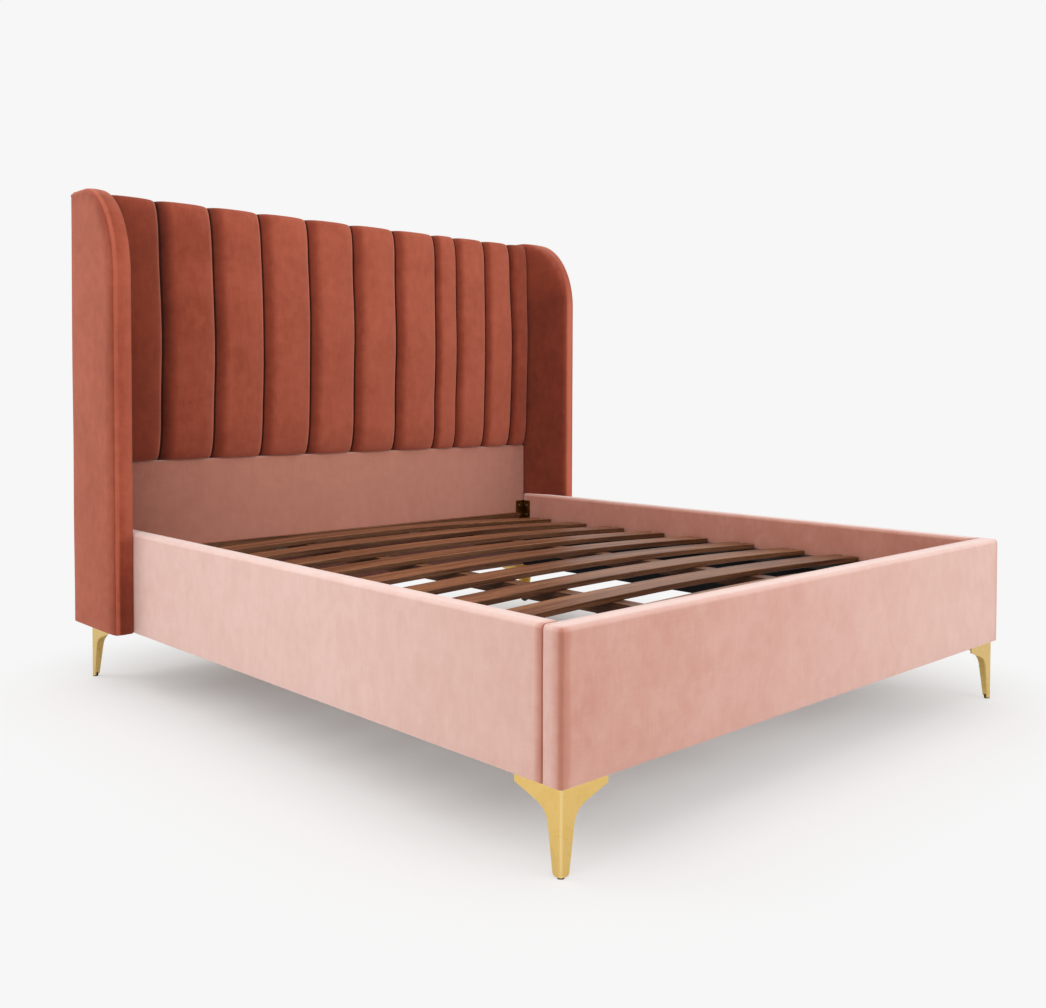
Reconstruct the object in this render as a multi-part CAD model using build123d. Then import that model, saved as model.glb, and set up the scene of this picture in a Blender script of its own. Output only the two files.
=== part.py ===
from build123d import *
import math
import os

# Upholstered bed frame with a channelled headboard, curved wings, slats and angled brass legs.
# The origin is on the floor under the middle of the bed.
# X runs across the bed, Y towards the headboard and Z up. All lengths are in millimetres.

os.makedirs("parts", exist_ok=True)

# Whole bed
frame_width = 1900.0  # over the outer faces of the side rails
frame_length = 2205.0  # face of the foot rail to the back of the headboard
headboard_height = 1586.0  # floor to the top of the wings
ground_clearance = 178.0  # floor to the underside of the rails

# Clearances
soft_gap = 0.3  # round upholstered faces
timber_gap = 0.2  # round timber and metal
bore_gap = 0.05  # round the stem of a levelling foot
overrun = 5.0  # cutters past the faces that they cut

# Rails
rail_height = 315.0
rail_thickness = 53.0
rail_padding = 8.0
rail_edge_radius = 12.0
under_cloth = 2.0  # cloth under the rails and wings
lining_thickness = 0.8  # cloth on the rails' inner faces below the cleats

# Headboard
back_cloth = 2.0
timber_depth = 70.0
timber_width = 70.0
backing_board = 15.0
lower_pad_thickness = 33.0
lower_pad_edge = 6.0
mid_rail_height = 705.0  # floor to the line where the channels start

# Channels
channel_depth = 38.0  # backing board to the seams
channel_crown = 26.0  # seams to the fullest line of a pad
channel_belly = 8.0
channel_top_drop = 13.0  # top of the wings to the crest of the channels
channel_roll = 42.0
channel_foot_roll = 22.0
channel_scallop = 9.0
channel_foot_draw = 6.0
channel_over_frame = 26.0  # pad over the top of the timber
seam_shares = (-0.864, -0.653, -0.440, -0.223, -0.004, 0.215, 0.437, 0.557, 0.732, 0.889)
crown_place_shares = (-1.0, -0.84, -0.45, 0.0, 0.45, 0.84, 1.0)
crown_fullness_shares = (0.0, 0.5, 0.88, 1.0, 0.88, 0.5, 0.0)
seam_belly_share = 0.35
roll_turn_shares = (0.0, 0.3, 0.65, 1.0)
belly_height_shares = (0.25, 0.5, 0.75)

# Wings
wing_overhang = 65.0  # wing past the side rail
wing_depth = 318.0
wing_corner_depth = 230.0
wing_corner_height = 285.0
wing_flare = 48.0  # extra thickness of the right wing beside the channels
wing_padding = 8.0
wing_edge_radius = 11.0
wing_bolt_height_shares = (0.25, 0.75)

# Slats and what carries them
slat_count = 9
slat_width = 90.0
slat_thickness = 16.0
slat_bow = 24.0
slat_edge = 1.5
slat_drop = 98.0  # top of the rails to the top of a slat's end
slat_end_gap = 10.0
first_slat_gap = 178.5
last_slat_gap = 70.0
cleat_width = 30.0
cleat_height = 40.0
cross_board_thickness = 25.0
cross_board_height = 60.0
cross_board_rise = 18.0  # top of the boards over the slats' ends
beam_offset = 300.0
beam_width = 48.0
beam_height = 36.0
hanger_steel = 2.0
hanger_length = 42.0
hanger_flange = 18.0

# Support legs under the beams
support_offset = -650.0
support_tube_radius = 19.0
support_tube_wall = 2.0
support_plate = 3.0
support_plate_length = 90.0
support_plug = 10.0
foot_disc_radius = 22.0
foot_disc_height = 12.0
foot_disc_edge = 3.0
foot_stem_radius = 5.0
foot_stem_length = 44.0

# Brass corner legs
leg_arm = 134.0
leg_end_height = 18.0
leg_waist = 41.0
leg_waist_drop = 50.0
leg_sweep_radius = 45.0
leg_foot_width = 22.5
leg_metal = 4.0
leg_bend_radius = 6.0
leg_foot_corner = 7.0
leg_top_width = 46.0
leg_inset = 12.0
rear_leg_side_inset = 38.0
rear_leg_back_inset = 49.0
glide_height = 3.0
glide_boss = 8.0
glide_boss_width = 10.0
leg_screw_places = ((18.0, 18.0), (122.0, 26.0), (26.0, 122.0))

# Corner brackets
bracket_width = 44.0
bracket_height = 81.0
bracket_metal = 3.0
bracket_top_drop = 30.0
bracket_screw_row_shares = (0.25, 0.75)
bracket_screw_column_share = 0.6

# Screws and bolts
fastener_sides = 8
screw_head_radius = 4.5
screw_head_height = 2.4
screw_radius = 2.2
rail_screw_length = 26.0
slat_screw_length = 36.0
slat_screw_inset = 15.0
panel_screw_grip = 22.0
bolt_head_radius = 7.0
bolt_head_height = 5.0
bolt_radius = 4.0
bolt_grip = 30.0

# Planes across the bed
rail_outer = frame_width / 2
rail_inner = rail_outer - rail_thickness
wing_inner = rail_outer + soft_gap
wing_outer = rail_outer + wing_overhang
flare_inner = wing_inner - wing_flare

# Planes along the bed
foot_face = -frame_length / 2
foot_inner = foot_face + rail_thickness
back_face = frame_length / 2
timber_back = back_face - back_cloth - timber_gap
timber_front = timber_back - timber_depth
board_front = timber_front - timber_gap - backing_board
pad_back = board_front - soft_gap
lower_front = pad_back - lower_pad_thickness
seam_plane = pad_back - channel_depth
wing_front = back_face - wing_depth

# Levels
rail_top = ground_clearance + rail_height
slat_end_top = rail_top - slat_drop
cleat_top = slat_end_top - slat_thickness - timber_gap
cross_board_top = slat_end_top + cross_board_rise + timber_gap
channel_top = headboard_height - channel_top_drop
timber_top = channel_top - channel_over_frame - timber_gap

# The channels lie between the wings' inner faces.
seam_span = flare_inner - soft_gap
left_end = -(wing_inner - soft_gap)

# Directions, and the radius and length of heads and shanks
up, down, outwards = (0, 0, 1), (0, 0, -1), (1, 0, 0)
screw_head = (screw_head_radius, screw_head_height)
rail_shank = (screw_radius, rail_screw_length)
slat_shank = (screw_radius, slat_screw_length)
bolt_head = (bolt_head_radius, bolt_head_height)
bolt_shank = (bolt_radius, timber_width + wing_padding + bolt_grip)


def block(x_range, y_range, z_range):
    """Box between three pairs of planes."""
    size = [high - low for low, high in (x_range, y_range, z_range)]
    middle = [(high + low) / 2 for low, high in (x_range, y_range, z_range)]
    return Pos(*middle) * Box(*size)


def mirrored(shape):
    """The same piece on the other side of the bed."""
    return mirror(shape, about=Plane.YZ)


def rod(start, axis, radius, length):
    """Cylinder that starts at a point and runs along an axis."""
    return extrude(Plane(origin=start, z_dir=axis) * Circle(radius), amount=length)


def faceted_rod(start, axis, radius, length):
    """Rod of a few flat sides, for the many fasteners and the holes that clear them all round."""
    return extrude(Plane(origin=start, z_dir=axis) * RegularPolygon(radius, fastener_sides), amount=length)


def screw(seat, axis, head, shank):
    """Head on its seat, with its shank along the axis. Head and shank are (radius, length)."""
    behind = Vector(*seat) - Vector(*axis) * head[1]
    return faceted_rod(behind, axis, *head) + faceted_rod(seat, axis, *shank)


def hole(seat, axis, shank):
    """Clearance hole for a shank."""
    radius, length = shank
    return faceted_rod(seat, axis, radius + timber_gap, length + timber_gap)


def bent_strip(corner, first, second, thickness):
    """Plan outline of an angle: a corner, the far end of each leg and the metal's thickness."""
    (x, y), (x1, y1) = corner, (first, second)
    inside_x = x + math.copysign(thickness, x1 - x)
    inside_y = y + math.copysign(thickness, y1 - y)
    points = [(x, y), (x1, y), (x1, inside_y), (inside_x, inside_y), (inside_x, y1), (x, y1)]
    return Polyline(*points, close=True)


# Rails


def rail_sleeve(x_range, y_range, edges):
    """Padded skin of a rail with its soft edges rounded. Edges picks the ones to round."""
    body = block(x_range, y_range, (ground_clearance, rail_top))
    return fillet(edges(body), rail_edge_radius)


def rail_core_levels():
    """Underside and top of the timber inside a rail."""
    return ground_clearance + under_cloth, rail_top - rail_padding


def grown(pair, by):
    """A pair of planes moved apart by a gap."""
    return pair[0] - by, pair[1] + by


side_span = (foot_inner + soft_gap, lower_front - soft_gap)
side_core_x = (rail_inner + rail_padding, rail_outer - rail_padding)
foot_core_x = (-rail_outer + rail_padding, rail_outer - rail_padding)
foot_core_y = (foot_face + rail_padding, foot_inner - rail_padding)


def side_rail_core():
    return block(side_core_x, side_span, rail_core_levels())


def side_rail_cover():
    """Sleeve that is open at both ends, where it meets the foot rail and the headboard."""
    skin = rail_sleeve((rail_inner, rail_outer), side_span, lambda body: body.edges().filter_by(Axis.Y))
    through = grown(side_span, rail_padding)
    return skin - block(grown(side_core_x, timber_gap), through, grown(rail_core_levels(), timber_gap))


def foot_rail_core():
    return block(foot_core_x, foot_core_y, rail_core_levels())


def foot_rail_cover():
    """Padded skin closed at both ends, since the foot rail covers the ends of the side rails."""
    skin = rail_sleeve((-rail_outer, rail_outer), (foot_face, foot_inner), lambda body: body.edges())
    cavity = [grown(pair, timber_gap) for pair in (foot_core_x, foot_core_y, rail_core_levels())]
    return skin - block(*cavity)


# Slats and their supports


slat_reach = rail_inner - slat_end_gap
slat_radius = (slat_reach**2 + slat_bow**2) / (2 * slat_bow)  # of the bowed top


def slat_height(x):
    """How far a slat has risen over its ends at a place across the bed."""
    return slat_bow * (1 - (x / slat_reach) ** 2)


def slat_front(index):
    """Front edge of a slat, with the slats spread evenly between the first and the last."""
    first = foot_inner + first_slat_gap
    last = lower_front - soft_gap - cross_board_thickness - last_slat_gap - slat_width
    return first + (last - first) * index / (slat_count - 1)


def slat(index):
    """Laminated slat, bowed upwards: its chamfered section turned about the centre of the bow."""
    half_turn = math.degrees(math.asin(slat_reach / slat_radius))
    profile = Rectangle(slat_width, slat_thickness)
    profile = chamfer(profile.vertices(), slat_edge)
    section = Plane.YZ * (Pos(slat_width / 2, slat_radius - slat_thickness / 2) * profile)
    body = revolve(Rot(0, -half_turn, 0) * section, Axis.Y, 2 * half_turn)
    return Pos(0, slat_front(index), slat_end_top + slat_bow - slat_radius) * body


def slat_screw_seats():
    """A seat for a screw at each end of every slat."""
    x = slat_reach - slat_screw_inset
    highest = slat_end_top + slat_height(x - screw_head_radius) + timber_gap
    seats = []
    for index in range(slat_count):
        y = slat_front(index) + slat_width / 2
        seats += [(side * x, y, highest) for side in (-1, 1)]
    return seats


def side_cleat():
    """Timber strip along a side rail that the slats rest on."""
    across = (rail_inner - cleat_width, rail_inner - soft_gap)
    return block(across, grown(side_span, -timber_gap), (cleat_top - cleat_height, cleat_top))


def rail_linings():
    """Black cloth on the inner face of each rail, from its underside to the cleats."""
    levels = (ground_clearance, cleat_top - cleat_height - soft_gap)
    depth = lining_thickness + soft_gap
    right = block((rail_inner - depth, rail_inner - soft_gap), grown(side_span, -timber_gap - depth), levels)
    reach = rail_inner - cleat_width
    foot = block((-reach, reach), (foot_inner + soft_gap, foot_inner + depth), levels)
    return [right, mirrored(right), foot]


def cross_board(y_range):
    """Board across one end of the platform, short of the corner brackets."""
    reach = rail_inner - bracket_width - bracket_metal
    return block((-reach, reach), y_range, (cross_board_top - cross_board_height, cross_board_top))


head_board_y = (lower_front - soft_gap - cross_board_thickness, lower_front - soft_gap)
foot_board_y = (foot_inner + soft_gap, foot_inner + soft_gap + cross_board_thickness)
beam_x = (beam_offset - beam_width / 2, beam_offset + beam_width / 2)
beam_y = (foot_board_y[1] + hanger_steel + 2 * timber_gap, head_board_y[0] - hanger_steel - 2 * timber_gap)
beam_top = slat_end_top - slat_thickness + slat_height(beam_x[1]) - timber_gap
beam_z = (beam_top - beam_height, beam_top)


def long_beam():
    """Timber beam from the foot to the head under the slats."""
    return block(beam_x, beam_y, beam_z)


def beam_hanger(board_y, direction):
    """Steel saddle that carries a beam's end on a cross board. Direction points along the beam."""
    outside = grown(beam_x, timber_gap + hanger_steel)
    ends = sorted((board_y, board_y + direction * hanger_length))
    plate_ends = sorted((board_y, board_y + direction * hanger_steel))
    floor_level = beam_z[0] - timber_gap - hanger_steel
    body = block(outside, ends, (floor_level, beam_z[1] - hanger_steel))
    wings = block(grown(outside, hanger_flange), plate_ends, (floor_level, beam_z[1] - hanger_steel))
    cut = block(grown(beam_x, timber_gap), grown(ends, hanger_length), (beam_z[0] - timber_gap, rail_top))
    behind_cut = block(grown(beam_x, timber_gap), plate_ends, (beam_z[0] - timber_gap, beam_z[1] - hanger_steel))
    return body + wings - cut + behind_cut


def beam_hangers():
    """The four saddles, two at each end of the platform."""
    foot_end = beam_hanger(foot_board_y[1] + timber_gap, 1)
    head_end = beam_hanger(head_board_y[0] - timber_gap, -1)
    right = [foot_end, head_end]
    return right + [mirrored(one) for one in right]


# Support legs

foot_bore_radius = foot_stem_radius + bore_gap
support_bottom = foot_disc_height + soft_gap
support_top = beam_z[0] - timber_gap


def support_leg():
    """Steel tube with a plate under the beam and a bored plug for the levelling foot."""
    place = Pos(beam_offset, support_offset, 0)
    height = support_top - support_bottom
    tube = rod((0, 0, support_bottom), up, support_tube_radius, height)
    inside = support_tube_radius - support_tube_wall
    hollow_height = height - support_plug - support_plate
    hollow = rod((0, 0, support_bottom + support_plug), up, inside, hollow_height)
    bore = rod((0, 0, support_bottom), up, foot_bore_radius, support_plug)
    half_length = support_plate_length / 2
    half_width = beam_width / 2
    plate_levels = (support_top - support_plate, support_top)
    plate = block((-half_width, half_width), (-half_length, half_length), plate_levels)
    return place * (tube + plate - hollow - bore)


def levelling_foot():
    """Round foot on a stem that screws up into the support leg."""
    place = Pos(beam_offset, support_offset, 0)
    disc = rod((0, 0, 0), up, foot_disc_radius, foot_disc_height)
    disc = chamfer(disc.edges().sort_by(Axis.Z)[-1], foot_disc_edge)
    stem = rod((0, 0, foot_disc_height), up, foot_stem_radius, foot_stem_length)
    return place * (disc + stem)


# Brass corner legs


def leg_flange():
    """Flat blade of a leg: a long straight top, a concave sweep and a foot that tapers to the floor."""
    height = ground_clearance - glide_height
    end, waist = Vector(leg_arm, -leg_end_height), Vector(leg_waist, -leg_waist_drop)
    foot = Vector(leg_foot_width, -height)
    to_end, to_foot = (end - waist).normalized(), (foot - waist).normalized()
    half_turn = math.radians(to_end.get_angle(to_foot)) / 2
    reach = leg_sweep_radius / math.tan(half_turn)
    middle = (to_end + to_foot).normalized()
    nearest = leg_sweep_radius / math.sin(half_turn) - leg_sweep_radius
    start, through, finish = waist + to_end * reach, waist + middle * nearest, waist + to_foot * reach
    outline = [
        Line((0, 0), (leg_arm, 0)),
        Line((leg_arm, 0), end),
        Line(end, start),
        ThreePointArc(start, through, finish),
        Line(finish, foot),
        Line(foot, (0, -height)),
        Line((0, -height), (0, 0)),
    ]
    blade = make_face(outline)
    toe = blade.vertices().sort_by_distance(Vertex(foot.X, foot.Y, 0))[0]
    return fillet(toe, leg_foot_corner)


def leg_top_plate():
    """Flat angle on top of a leg that takes the screws."""
    outline = bent_strip((0, 0), leg_arm, leg_arm, leg_top_width)
    return Pos(0, 0, ground_clearance - leg_metal) * extrude(make_face(outline), amount=leg_metal)


def leg_screw_seats():
    """Seats under the top plate, with the ridge of the leg at the origin."""
    return [(x, y, ground_clearance - leg_metal - timber_gap) for x, y in leg_screw_places]


def corner_leg():
    """Folded brass leg with its ridge over the origin and its two flanges along X and Y."""
    front = Plane(origin=(0, 0, ground_clearance), x_dir=(1, 0, 0), z_dir=(0, -1, 0))
    side = Plane(origin=(0, 0, ground_clearance), x_dir=(0, 1, 0), z_dir=(1, 0, 0))
    across = extrude(front * leg_flange(), amount=-leg_metal)
    along = extrude(side * leg_flange(), amount=leg_metal)
    body = across + along
    ridge = [e for e in body.edges().filter_by(Axis.Z) if abs(e.center().X) + abs(e.center().Y) < timber_gap]
    body = fillet(ridge, leg_bend_radius) + leg_top_plate()
    return body - [hole(seat, up, rail_shank) for seat in leg_screw_seats()]


def leg_glide():
    """Plastic glide under a leg's foot with a boss inside the fold."""
    side = leg_foot_width - leg_foot_corner
    pad = block((0, side), (0, side), (0, glide_height - timber_gap))
    pad = chamfer(pad.edges().filter_by(Axis.Z), leg_bend_radius)
    inside = (leg_metal + timber_gap, leg_metal + timber_gap + glide_boss_width)
    return pad + block(inside, inside, (0, glide_boss + glide_height))


def at_corner(shape, side, end):
    """A leg's piece, moved from the origin to one corner. Side is 1 on the right, end is 1 at the head."""
    if end > 0:
        x, y = wing_outer - rear_leg_side_inset, back_face - rear_leg_back_inset
    else:
        x, y = rail_outer - leg_inset, foot_face + leg_inset
    turned = mirrored(shape)
    if end > 0:
        turned = mirror(turned, about=Plane.XZ)
    placed = Pos(x, y, 0) * turned
    return placed if side > 0 else mirrored(placed)


corners = {
    "foot_left": (-1, -1),
    "foot_right": (1, -1),
    "head_left": (-1, 1),
    "head_right": (1, 1),
}

# Corner brackets

bracket_z = (rail_top - bracket_top_drop - bracket_height, rail_top - bracket_top_drop)


def corner_bracket(end_face, direction):
    """Steel angle in the corner of a side rail and the end face. Direction points into the recess."""
    x, y = rail_inner - timber_gap, end_face + direction * timber_gap
    outline = bent_strip((x, y), x - bracket_width, y + direction * bracket_width, bracket_metal)
    return Pos(0, 0, bracket_z[0]) * extrude(make_face(outline), amount=bracket_height)


def bracket_screws(end_face, direction, end_shank):
    """Seats, axes and shanks of one bracket's screws, two in each flange."""
    rows = [bracket_z[0] + share * bracket_height for share in bracket_screw_row_shares]
    x = rail_inner - 2 * timber_gap - bracket_metal
    y = end_face + direction * (2 * timber_gap + bracket_metal)
    column = bracket_width * bracket_screw_column_share
    into_rail = [((x, end_face + direction * column, z), outwards, rail_shank) for z in rows]
    into_end = [((rail_inner - column, y, z), (0, -direction, 0), end_shank) for z in rows]
    return into_rail + into_end


panel_shank = (screw_radius, lower_pad_thickness + backing_board + panel_screw_grip)
bracket_ends = ((foot_inner, 1, rail_shank), (lower_front, -1, panel_shank))

# Headboard frame

stile_x = (rail_outer - timber_width, rail_outer - timber_gap)
timber_y = (timber_front, timber_back)
stile_z = (ground_clearance, timber_top)
between_stiles = (-stile_x[0] + timber_gap, stile_x[0] - timber_gap)
bottom_rail_z = (ground_clearance, ground_clearance + timber_width)
mid_rail_z = (mid_rail_height - timber_width / 2, mid_rail_height + timber_width / 2)
top_rail_z = (timber_top - timber_width, timber_top)
frame_openings = ((bottom_rail_z[1], mid_rail_z[0]), (mid_rail_z[1], top_rail_z[0]))


def headboard_stile():
    return block(stile_x, timber_y, stile_z)


def headboard_cross_rail(levels):
    """Timber between the stiles."""
    return block(between_stiles, timber_y, levels)


def headboard_backing():
    """Sheet that the pads are fixed to, on the front of the timber frame."""
    return block((-stile_x[1], stile_x[1]), (board_front, timber_front - timber_gap), stile_z)


def headboard_back_cover():
    """Stapled cloth over the open back of the frame."""
    return block((-stile_x[1], stile_x[1]), (back_face - back_cloth, back_face), stile_z)


def lower_pad():
    """Plain padded panel below the channels, narrower over the right rail where the wing is thicker."""
    depth = (lower_front, pad_back)
    body = block((-stile_x[1], stile_x[1]), depth, (ground_clearance, rail_top))
    body += block((-stile_x[1], seam_span), depth, (rail_top, mid_rail_height - soft_gap))
    top_front = body.edges().filter_by(Axis.X).group_by(Axis.Y)[0].sort_by(Axis.Z)[-1]
    return fillet(top_front, lower_pad_edge)


# Channels


def channel_levels():
    """Side view of a pad as (height, set back, belly): rolled at its foot and top, bellied between."""
    levels = []
    for turn in [math.pi / 2 * share for share in roll_turn_shares]:
        height = mid_rail_height + channel_foot_roll * (1 - math.cos(turn))
        levels.append((height, channel_foot_roll * (1 - math.sin(turn)), 0))
    low, high = mid_rail_height + channel_foot_roll, channel_top - channel_roll
    for share in belly_height_shares:
        belly = channel_belly * (1 - (2 * share - 1) ** 2)
        levels.append((low + (high - low) * share, 0, belly))
    for turn in [math.pi / 2 * share for share in roll_turn_shares]:
        height = channel_top - channel_roll * (1 - math.sin(turn))
        levels.append((height, channel_roll * (1 - math.cos(turn)), 0))
    return levels


def channel_plan(left, right, set_back, belly):
    """Outline of a pad seen from above: straight back and sides, and a crowned front of three arcs."""
    middle, half = (left + right) / 2, (right - left) / 2
    front = []
    for place, full in zip(crown_place_shares, crown_fullness_shares):
        out = channel_crown * full + belly * (seam_belly_share + (1 - seam_belly_share) * full)
        front.append((middle + half * place, seam_plane + set_back - out))
    corners = [front[-1], (right, back_face), (left, back_face), front[0]]
    arcs = [ThreePointArc(*front[first : first + 3]) for first in (0, 2, 4)]
    return make_face(arcs + [Line(*ends) for ends in zip(corners, corners[1:])])


def channel_arch(left, right):
    """Front view of a pad, drawn in at the seams along its top and its foot, and wider than the pad."""
    middle, half = (left + right) / 2, (right - left) / 2
    ends = (left - overrun, right + overrun)
    past = ((half + overrun) / half) ** 2
    high, low = channel_top - channel_scallop * past, mid_rail_height + channel_foot_draw * past
    top = ThreePointArc((ends[0], high), (middle, channel_top), (ends[1], high))
    foot = ThreePointArc((ends[0], low), (middle, mid_rail_height), (ends[1], low))
    outline = make_face([top, foot, Line(top @ 0, foot @ 0), Line(top @ 1, foot @ 1)])
    depth = back_face - seam_plane + channel_crown + channel_belly + 2 * overrun
    return extrude(Plane.XZ.offset(-back_face - overrun) * outline, amount=depth)


def channel_pad(left, right):
    """Crowned pad between two seams that rolls over the top of the timber."""
    plans = []
    for height, set_back, belly in channel_levels():
        plans.append(Pos(0, 0, height) * channel_plan(left, right, set_back, belly))
    behind = (pad_back, back_face + overrun)
    below = (mid_rail_height - overrun, timber_top + timber_gap)
    pad = loft(plans, ruled=True) - block(grown((left, right), overrun), behind, below)
    return pad & channel_arch(left, right)


def channel_seams():
    """Every edge of the channels across the headboard, from wing to wing."""
    return [left_end] + [seam_span * share for share in seam_shares] + [seam_span]


# Wings


def wing_slab(x_range, inset, bottom, back):
    """Side view of a wing between two planes: upright front, elliptical corner and level top."""
    front = wing_front + inset
    top = headboard_height - inset
    centre = (wing_front + wing_corner_depth, headboard_height - wing_corner_height)
    outline = [
        Line((front, bottom), (front, centre[1])),
        EllipticalCenterArc(centre, wing_corner_depth - inset, wing_corner_height - inset, 90, arc_size=90),
        Line((centre[0], top), (back, top)),
        Line((back, top), (back, bottom)),
        Line((back, bottom), (front, bottom)),
    ]
    face = Plane.YZ.offset(x_range[0]) * make_face(outline)
    return extrude(face, amount=x_range[1] - x_range[0])


def wing_flare_foam():
    """Wedge on a wing's inner face over the rail, thickest at the channels, and on over the timber's top."""
    slim = wing_front + wing_edge_radius
    points = [(wing_inner, slim), (flare_inner, seam_plane), (flare_inner, pad_back), (wing_inner, pad_back)]
    levels = (rail_top + soft_gap, headboard_height)
    wedge = extrude(make_face(Polyline(*points, close=True)), amount=levels[1] - levels[0])
    wedge = Pos(0, 0, levels[0]) * wedge
    over_frame = block((flare_inner, wing_inner), (pad_back, back_face), (timber_top + timber_gap, levels[1]))
    side_view = wing_slab((flare_inner, wing_inner), 0, ground_clearance, back_face)
    return (wedge + over_frame) & side_view


def wing_body():
    """Outside of a plain wing with its front and top edges rounded."""
    slab = wing_slab((wing_inner, wing_outer), 0, ground_clearance, back_face)
    soft = []
    for face in (slab.faces().sort_by(Axis.X)[0], slab.faces().sort_by(Axis.X)[-1]):
        for edge in face.edges():
            middle = edge.center()
            if middle.Z > ground_clearance + wing_edge_radius and middle.Y < back_face - wing_edge_radius:
                soft.append(edge)
    return fillet(soft, wing_edge_radius)


wing_core_x = (wing_inner + wing_padding, wing_outer - wing_padding)


def wing_core():
    """Shaped board inside a wing."""
    return wing_slab(wing_core_x, wing_padding, ground_clearance + under_cloth, back_face - back_cloth)


def wing_cover(body):
    """Padded skin round the board, from the body of a wing."""
    room = grown(wing_core_x, timber_gap)
    bottom = ground_clearance + under_cloth - timber_gap
    cavity = wing_slab(room, wing_padding - timber_gap, bottom, back_face - back_cloth + timber_gap)
    return body - cavity


def wing_bolt_seats():
    """Seats on the inner face of a stile for the bolts that hold a wing, clear of the cross rails."""
    x, y = stile_x[0] - timber_gap, (timber_front + timber_back) / 2
    seats = []
    for low, high in frame_openings:
        seats += [(x, y, low + share * (high - low)) for share in wing_bolt_height_shares]
    return seats


# Fasteners and the holes that they need


def pair(shapes):
    """Pieces of the right side with their mirror images."""
    return list(shapes) + [mirrored(shape) for shape in shapes]


slat_screws = [screw(seat, down, screw_head, slat_shank) for seat in slat_screw_seats()]
slat_holes = [hole(seat, down, slat_shank) for seat in slat_screw_seats()]

leg_screws, leg_holes = [], []
for side, end in corners.values():
    for seat in leg_screw_seats():
        leg_screws.append(at_corner(screw(seat, up, screw_head, rail_shank), side, end))
        leg_holes.append(at_corner(hole(seat, up, rail_shank), side, end))

bracket_parts = [one for end in bracket_ends for one in bracket_screws(*end)]
bracket_screw_set = pair([screw(seat, axis, screw_head, shank) for seat, axis, shank in bracket_parts])
bracket_holes = pair([hole(seat, axis, shank) for seat, axis, shank in bracket_parts])

wing_bolts = pair([screw(seat, outwards, bolt_head, bolt_shank) for seat in wing_bolt_seats()])
wing_bolt_holes = pair([hole(seat, outwards, bolt_shank) for seat in wing_bolt_seats()])

every_hole = slat_holes + leg_holes + bracket_holes + wing_bolt_holes


def drilled(shape):
    """The shape with each fastener's hole that reaches it."""
    box = shape.bounding_box()
    near = []
    for one in every_hole:
        other = one.bounding_box()
        apart = (
            other.min.X > box.max.X,
            other.max.X < box.min.X,
            other.min.Y > box.max.Y,
            other.max.Y < box.min.Y,
            other.min.Z > box.max.Z,
            other.max.Z < box.min.Z,
        )
        if not any(apart):
            near.append(one)
    return shape - near if near else shape


# Every node of the bed

nodes = {}


def add(name, shape):
    nodes[name] = shape


def add_both(name, shape):
    """A right-hand piece and its mirror image on the left."""
    add(name + "_right", shape)
    add(name + "_left", mirrored(shape))


add("foot_rail_core", drilled(foot_rail_core()))
add("foot_rail_cover", drilled(foot_rail_cover()))
add_both("side_rail_core", drilled(side_rail_core()))
add_both("side_rail_cover", drilled(side_rail_cover()))
add_both("side_cleat", drilled(side_cleat()))
add("rail_linings", rail_linings())
add("foot_cross_board", cross_board(foot_board_y))
add("head_cross_board", cross_board(head_board_y))
add_both("long_beam", long_beam())
add("beam_hangers", beam_hangers())
add_both("support_leg", support_leg())
add_both("levelling_foot", levelling_foot())
for number in range(slat_count):
    add(f"slat_{number + 1:02d}", drilled(slat(number)))

add_both("headboard_stile", drilled(headboard_stile()))
add("headboard_bottom_rail", drilled(headboard_cross_rail(bottom_rail_z)))
add("headboard_mid_rail", headboard_cross_rail(mid_rail_z))
add("headboard_top_rail", headboard_cross_rail(top_rail_z))
add("headboard_backing_board", drilled(headboard_backing()))
add("headboard_back_cloth", headboard_back_cover())
add("lower_panel_pad", drilled(lower_pad()))
seams = channel_seams()
for number, (left, right) in enumerate(zip(seams, seams[1:]), start=1):
    add(f"channel_pad_{number:02d}", channel_pad(left + soft_gap / 2, right - soft_gap / 2))
add_both("wing_core", drilled(wing_core()))
add("wing_cover_right", drilled(wing_cover(wing_body() + wing_flare_foam())))
add("wing_cover_left", mirrored(drilled(wing_cover(wing_body()))))

for corner, (side, end) in corners.items():
    add(f"leg_{corner}", at_corner(corner_leg(), side, end))
add("leg_glides", [at_corner(leg_glide(), side, end) for side, end in corners.values()])
brackets = pair([corner_bracket(face, direction) for face, direction, _ in bracket_ends])
add("corner_brackets", [drilled(bracket) for bracket in brackets])
add("slat_screws", slat_screws)
add("leg_screws", leg_screws)
add("bracket_screws", bracket_screw_set)
add("wing_bolts", wing_bolts)

for name, shape in nodes.items():
    solids = [solid for one in (shape if isinstance(shape, list) else [shape]) for solid in one.solids()]
    export_step(solids[0] if len(solids) == 1 else Compound(solids), f"parts/{name}.step")
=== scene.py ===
import math

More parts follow.
